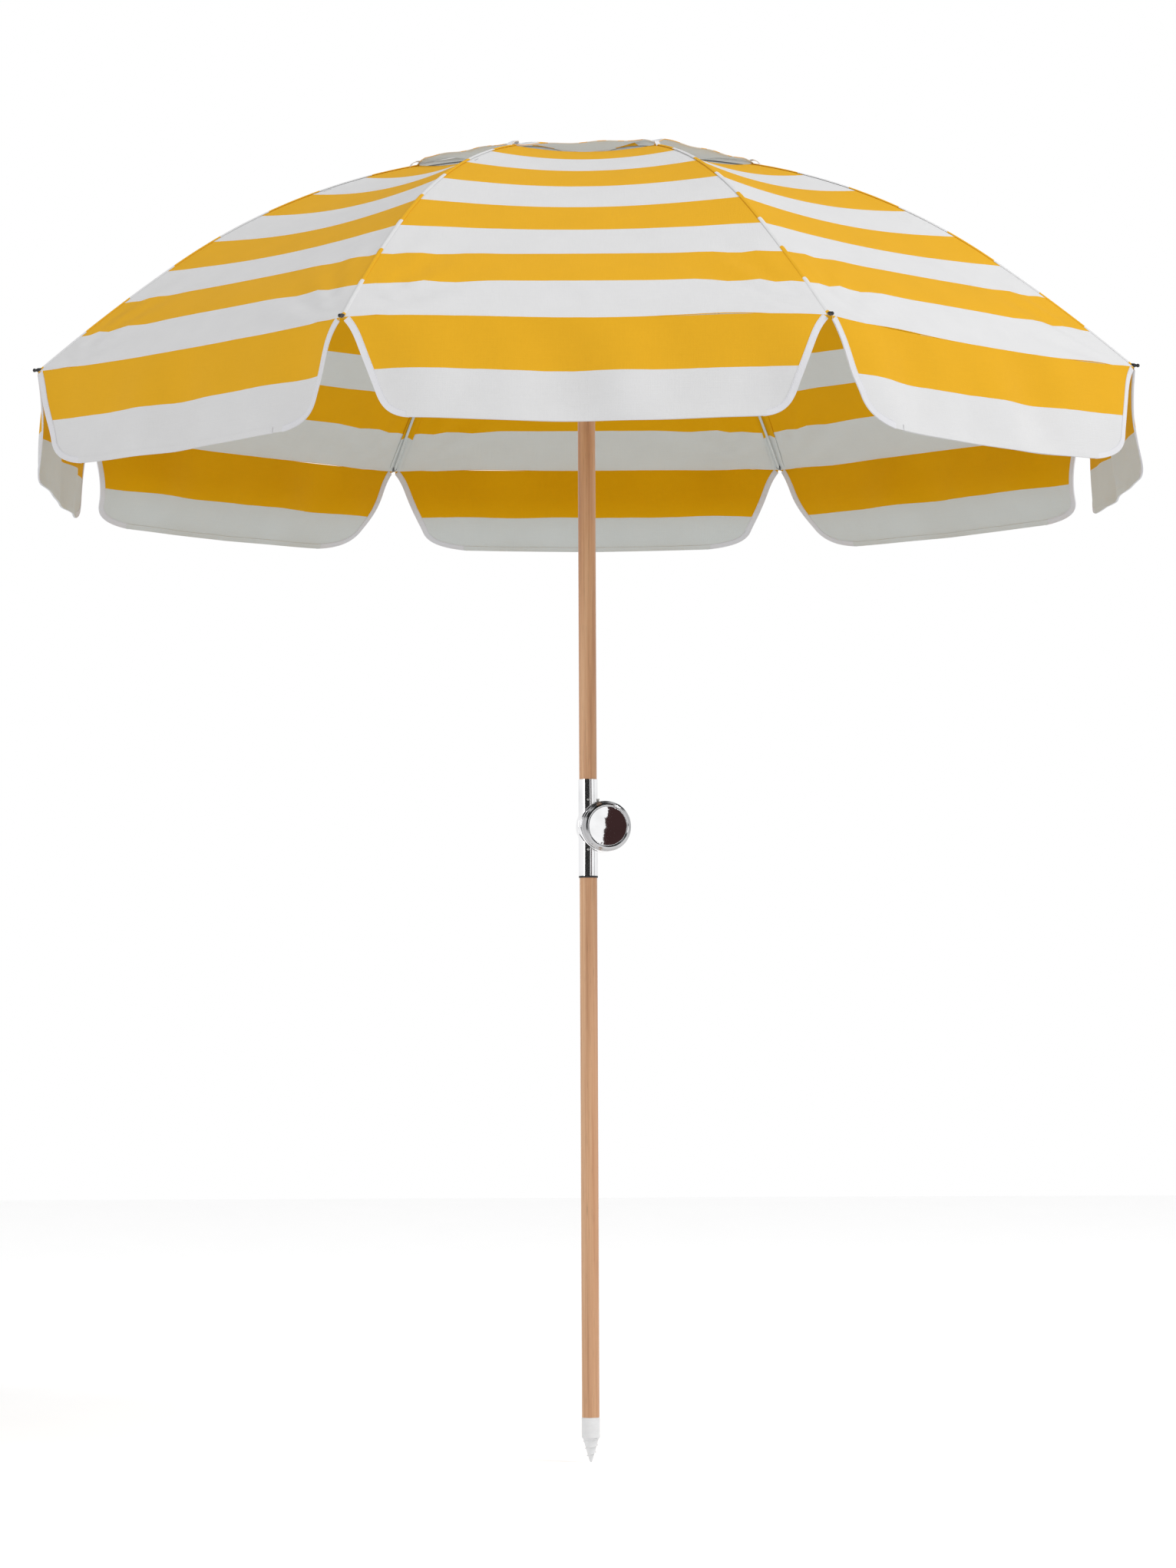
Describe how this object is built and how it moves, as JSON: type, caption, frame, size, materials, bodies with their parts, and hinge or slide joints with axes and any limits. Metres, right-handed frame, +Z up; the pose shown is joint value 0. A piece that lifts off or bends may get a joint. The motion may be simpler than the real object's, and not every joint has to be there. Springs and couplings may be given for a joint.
{
  "type": "beach umbrella",
  "caption": "Octagonal striped beach umbrella with a valance and vent cap on a two-part timber pole, with a tilt knuckle, sliding runner and ground screw.",
  "frame": {"origin": "on the pole's axis, at the lower end of the ground screw collar's straight wall", "axes": "+Z up the pole; -Y towards the side that the clamp knob faces; +X to the side that the mast tilts to"},
  "size_m": [1.7796, 1.7796, 2.1542],
  "materials": {
    "white_plastic": "satin",
    "timber": "satin",
    "black_rubber": "matte",
    "chrome": "polished",
    "steel": "satin",
    "black_fibre": "matte",
    "mirror_face": "polished",
    "brass": "satin",
    "canvas": "matte",
    "rib_grey": "satin",
    "strut_grey": "satin",
    "black_fittings": "satin"
  },
  "bodies": {
    "ground_pole": {"ground_screw": "white_plastic", "lower_pole": "timber", "pole_seal": "black_rubber"},
    "knuckle": {"lower_knuckle": "chrome", "lower_sleeve_screw": "steel", "friction_washer": "black_fibre", "pivot_bolt": "steel"},
    "knob": {"knob": "chrome", "knob_face": "mirror_face", "knob_insert": "brass"},
    "mast": {"upper_knuckle": "chrome", "upper_fasteners": "steel", "upper_pole": "timber", "catch_pin": "steel", "crown": "white_plastic", "crown_pins": "steel", "finial": "white_plastic", "vent_cap": "canvas"},
    "catch": {"catch": "steel"},
    "runner": {"runner": "white_plastic"},
    "rib_1": {"rib_1": "rib_grey", "rib_fittings_1": "black_fittings", "canopy_1": "canvas"},
    "strut_1": {"strut_1": "strut_grey"},
    "valance_1": {"valance_1": "canvas"},
    "rib_2": {"rib_2": "rib_grey", "rib_fittings_2": "black_fittings", "canopy_2": "canvas"},
    "strut_2": {"strut_2": "strut_grey"},
    "valance_2": {"valance_2": "canvas"},
    "rib_3": {"rib_3": "rib_grey", "rib_fittings_3": "black_fittings", "canopy_3": "canvas"},
    "strut_3": {"strut_3": "strut_grey"},
    "valance_3": {"valance_3": "canvas"},
    "rib_4": {"rib_4": "rib_grey", "rib_fittings_4": "black_fittings", "canopy_4": "canvas"},
    "strut_4": {"strut_4": "strut_grey"},
    "valance_4": {"valance_4": "canvas"},
    "rib_5": {"rib_5": "rib_grey", "rib_fittings_5": "black_fittings", "canopy_5": "canvas"},
    "strut_5": {"strut_5": "strut_grey"},
    "valance_5": {"valance_5": "canvas"},
    "rib_6": {"rib_6": "rib_grey", "rib_fittings_6": "black_fittings", "canopy_6": "canvas"},
    "strut_6": {"strut_6": "strut_grey"},
    "valance_6": {"valance_6": "canvas"},
    "rib_7": {"rib_7": "rib_grey", "rib_fittings_7": "black_fittings", "canopy_7": "canvas"},
    "strut_7": {"strut_7": "strut_grey"},
    "valance_7": {"valance_7": "canvas"},
    "rib_8": {"rib_8": "rib_grey", "rib_fittings_8": "black_fittings", "canopy_8": "canvas"},
    "strut_8": {"strut_8": "strut_grey"},
    "valance_8": {"valance_8": "canvas"}
  },
  "joints": [
    {"name": "pole_split", "type": "slide", "parent": "ground_pole", "child": "knuckle", "axis": [0, 0, 1], "range_m": [0, 0.05]},
    {"name": "knob_turn", "type": "hinge", "parent": "knuckle", "child": "knob", "pos_m": [0.0242, 0.00626, 0.991], "axis": [0.2504, -0.9681, 0], "range_deg": [0, 360]},
    {"name": "tilt", "type": "hinge", "parent": "knuckle", "child": "mast", "pos_m": [0.0242, 0.00626, 0.991], "axis": [-0.2504, 0.9681, 0], "range_deg": [0, 45]},
    {"name": "catch_swing", "type": "hinge", "parent": "mast", "child": "catch", "pos_m": [0.0113, 0, 1.792], "axis": [0, 1, 0], "range_deg": [0, 6]},
    {"name": "runner_slide", "type": "slide", "parent": "mast", "child": "runner", "axis": [0, 0, -1], "range_m": [0, 0.64688], "deforming": ["vent_cap", "canopy_1", "valance_1", "canopy_2", "valance_2", "canopy_3", "valance_3", "canopy_4", "valance_4", "canopy_5", "valance_5", "canopy_6", "valance_6", "canopy_7", "valance_7", "canopy_8", "valance_8"]},
    {"name": "rib_1_hinge", "type": "hinge", "parent": "mast", "child": "rib_1", "pos_m": [0.02402, 0.00995, 2.09], "axis": [-0.3827, 0.9239, 0], "range_deg": [0, 61.2]},
    {"name": "strut_1_hinge", "type": "hinge", "parent": "rib_1", "child": "strut_1", "pos_m": [0.41575, 0.17221, 1.998], "axis": [-0.3827, 0.9239, 0], "range_deg": [-122.4, 0]},
    {"name": "valance_1_hinge", "type": "hinge", "parent": "rib_1", "child": "valance_1", "pos_m": [0.85921, 0.3559, 1.6897], "axis": [-0.3827, 0.9239, 0], "range_deg": [-61.2, 0]},
    {"name": "rib_2_hinge", "type": "hinge", "parent": "mast", "child": "rib_2", "pos_m": [0.00995, 0.02402, 2.09], "axis": [-0.9239, 0.3827, 0], "range_deg": [0, 61.2]},
    {"name": "strut_2_hinge", "type": "hinge", "parent": "rib_2", "child": "strut_2", "pos_m": [0.17221, 0.41575, 1.998], "axis": [-0.9239, 0.3827, 0], "range_deg": [-122.4, 0]},
    {"name": "valance_2_hinge", "type": "hinge", "parent": "rib_2", "child": "valance_2", "pos_m": [0.3559, 0.85921, 1.6897], "axis": [-0.9239, 0.3827, 0], "range_deg": [-61.2, 0]},
    {"name": "rib_3_hinge", "type": "hinge", "parent": "mast", "child": "rib_3", "pos_m": [-0.00995, 0.02402, 2.09], "axis": [-0.9239, -0.3827, 0], "range_deg": [0, 61.2]},
    {"name": "strut_3_hinge", "type": "hinge", "parent": "rib_3", "child": "strut_3", "pos_m": [-0.17221, 0.41575, 1.998], "axis": [-0.9239, -0.3827, 0], "range_deg": [-122.4, 0]},
    {"name": "valance_3_hinge", "type": "hinge", "parent": "rib_3", "child": "valance_3", "pos_m": [-0.3559, 0.85921, 1.6897], "axis": [-0.9239, -0.3827, 0], "range_deg": [-61.2, 0]},
    {"name": "rib_4_hinge", "type": "hinge", "parent": "mast", "child": "rib_4", "pos_m": [-0.02402, 0.00995, 2.09], "axis": [-0.3827, -0.9239, 0], "range_deg": [0, 61.2]},
    {"name": "strut_4_hinge", "type": "hinge", "parent": "rib_4", "child": "strut_4", "pos_m": [-0.41575, 0.17221, 1.998], "axis": [-0.3827, -0.9239, 0], "range_deg": [-122.4, 0]},
    {"name": "valance_4_hinge", "type": "hinge", "parent": "rib_4", "child": "valance_4", "pos_m": [-0.85921, 0.3559, 1.6897], "axis": [-0.3827, -0.9239, 0], "range_deg": [-61.2, 0]},
    {"name": "rib_5_hinge", "type": "hinge", "parent": "mast", "child": "rib_5", "pos_m": [-0.02402, -0.00995, 2.09], "axis": [0.3827, -0.9239, 0], "range_deg": [0, 61.2]},
    {"name": "strut_5_hinge", "type": "hinge", "parent": "rib_5", "child": "strut_5", "pos_m": [-0.41575, -0.17221, 1.998], "axis": [0.3827, -0.9239, 0], "range_deg": [-122.4, 0]},
    {"name": "valance_5_hinge", "type": "hinge", "parent": "rib_5", "child": "valance_5", "pos_m": [-0.85921, -0.3559, 1.6897], "axis": [0.3827, -0.9239, 0], "range_deg": [-61.2, 0]},
    {"name": "rib_6_hinge", "type": "hinge", "parent": "mast", "child": "rib_6", "pos_m": [-0.00995, -0.02402, 2.09], "axis": [0.9239, -0.3827, 0], "range_deg": [0, 61.2]},
    {"name": "strut_6_hinge", "type": "hinge", "parent": "rib_6", "child": "strut_6", "pos_m": [-0.17221, -0.41575, 1.998], "axis": [0.9239, -0.3827, 0], "range_deg": [-122.4, 0]},
    {"name": "valance_6_hinge", "type": "hinge", "parent": "rib_6", "child": "valance_6", "pos_m": [-0.3559, -0.85921, 1.6897], "axis": [0.9239, -0.3827, 0], "range_deg": [-61.2, 0]},
    {"name": "rib_7_hinge", "type": "hinge", "parent": "mast", "child": "rib_7", "pos_m": [0.00995, -0.02402, 2.09], "axis": [0.9239, 0.3827, 0], "range_deg": [0, 61.2]},
    {"name": "strut_7_hinge", "type": "hinge", "parent": "rib_7", "child": "strut_7", "pos_m": [0.17221, -0.41575, 1.998], "axis": [0.9239, 0.3827, 0], "range_deg": [-122.4, 0]},
    {"name": "valance_7_hinge", "type": "hinge", "parent": "rib_7", "child": "valance_7", "pos_m": [0.3559, -0.85921, 1.6897], "axis": [0.9239, 0.3827, 0], "range_deg": [-61.2, 0]},
    {"name": "rib_8_hinge", "type": "hinge", "parent": "mast", "child": "rib_8", "pos_m": [0.02402, -0.00995, 2.09], "axis": [0.3827, 0.9239, 0], "range_deg": [0, 61.2]},
    {"name": "strut_8_hinge", "type": "hinge", "parent": "rib_8", "child": "strut_8", "pos_m": [0.41575, -0.17221, 1.998], "axis": [0.3827, 0.9239, 0], "range_deg": [-122.4, 0]},
    {"name": "valance_8_hinge", "type": "hinge", "parent": "rib_8", "child": "valance_8", "pos_m": [0.85921, -0.3559, 1.6897], "axis": [0.3827, 0.9239, 0], "range_deg": [-61.2, 0]}
  ],
  "couplings": [
    {"joint": "rib_1_hinge", "follows": "runner_slide", "rad_per_m": 1.6458},
    {"joint": "strut_1_hinge", "follows": "runner_slide", "rad_per_m": -3.2916},
    {"joint": "valance_1_hinge", "follows": "runner_slide", "rad_per_m": -1.6458},
    {"joint": "rib_2_hinge", "follows": "runner_slide", "rad_per_m": 1.6458},
    {"joint": "strut_2_hinge", "follows": "runner_slide", "rad_per_m": -3.2916},
    {"joint": "valance_2_hinge", "follows": "runner_slide", "rad_per_m": -1.6458},
    {"joint": "rib_3_hinge", "follows": "runner_slide", "rad_per_m": 1.6458},
    {"joint": "strut_3_hinge", "follows": "runner_slide", "rad_per_m": -3.2916},
    {"joint": "valance_3_hinge", "follows": "runner_slide", "rad_per_m": -1.6458},
    {"joint": "rib_4_hinge", "follows": "runner_slide", "rad_per_m": 1.6458},
    {"joint": "strut_4_hinge", "follows": "runner_slide", "rad_per_m": -3.2916},
    {"joint": "valance_4_hinge", "follows": "runner_slide", "rad_per_m": -1.6458},
    {"joint": "rib_5_hinge", "follows": "runner_slide", "rad_per_m": 1.6458},
    {"joint": "strut_5_hinge", "follows": "runner_slide", "rad_per_m": -3.2916},
    {"joint": "valance_5_hinge", "follows": "runner_slide", "rad_per_m": -1.6458},
    {"joint": "rib_6_hinge", "follows": "runner_slide", "rad_per_m": 1.6458},
    {"joint": "strut_6_hinge", "follows": "runner_slide", "rad_per_m": -3.2916},
    {"joint": "valance_6_hinge", "follows": "runner_slide", "rad_per_m": -1.6458},
    {"joint": "rib_7_hinge", "follows": "runner_slide", "rad_per_m": 1.6458},
    {"joint": "strut_7_hinge", "follows": "runner_slide", "rad_per_m": -3.2916},
    {"joint": "valance_7_hinge", "follows": "runner_slide", "rad_per_m": -1.6458},
    {"joint": "rib_8_hinge", "follows": "runner_slide", "rad_per_m": 1.6458},
    {"joint": "strut_8_hinge", "follows": "runner_slide", "rad_per_m": -3.2916},
    {"joint": "valance_8_hinge", "follows": "runner_slide", "rad_per_m": -1.6458}
  ]
}
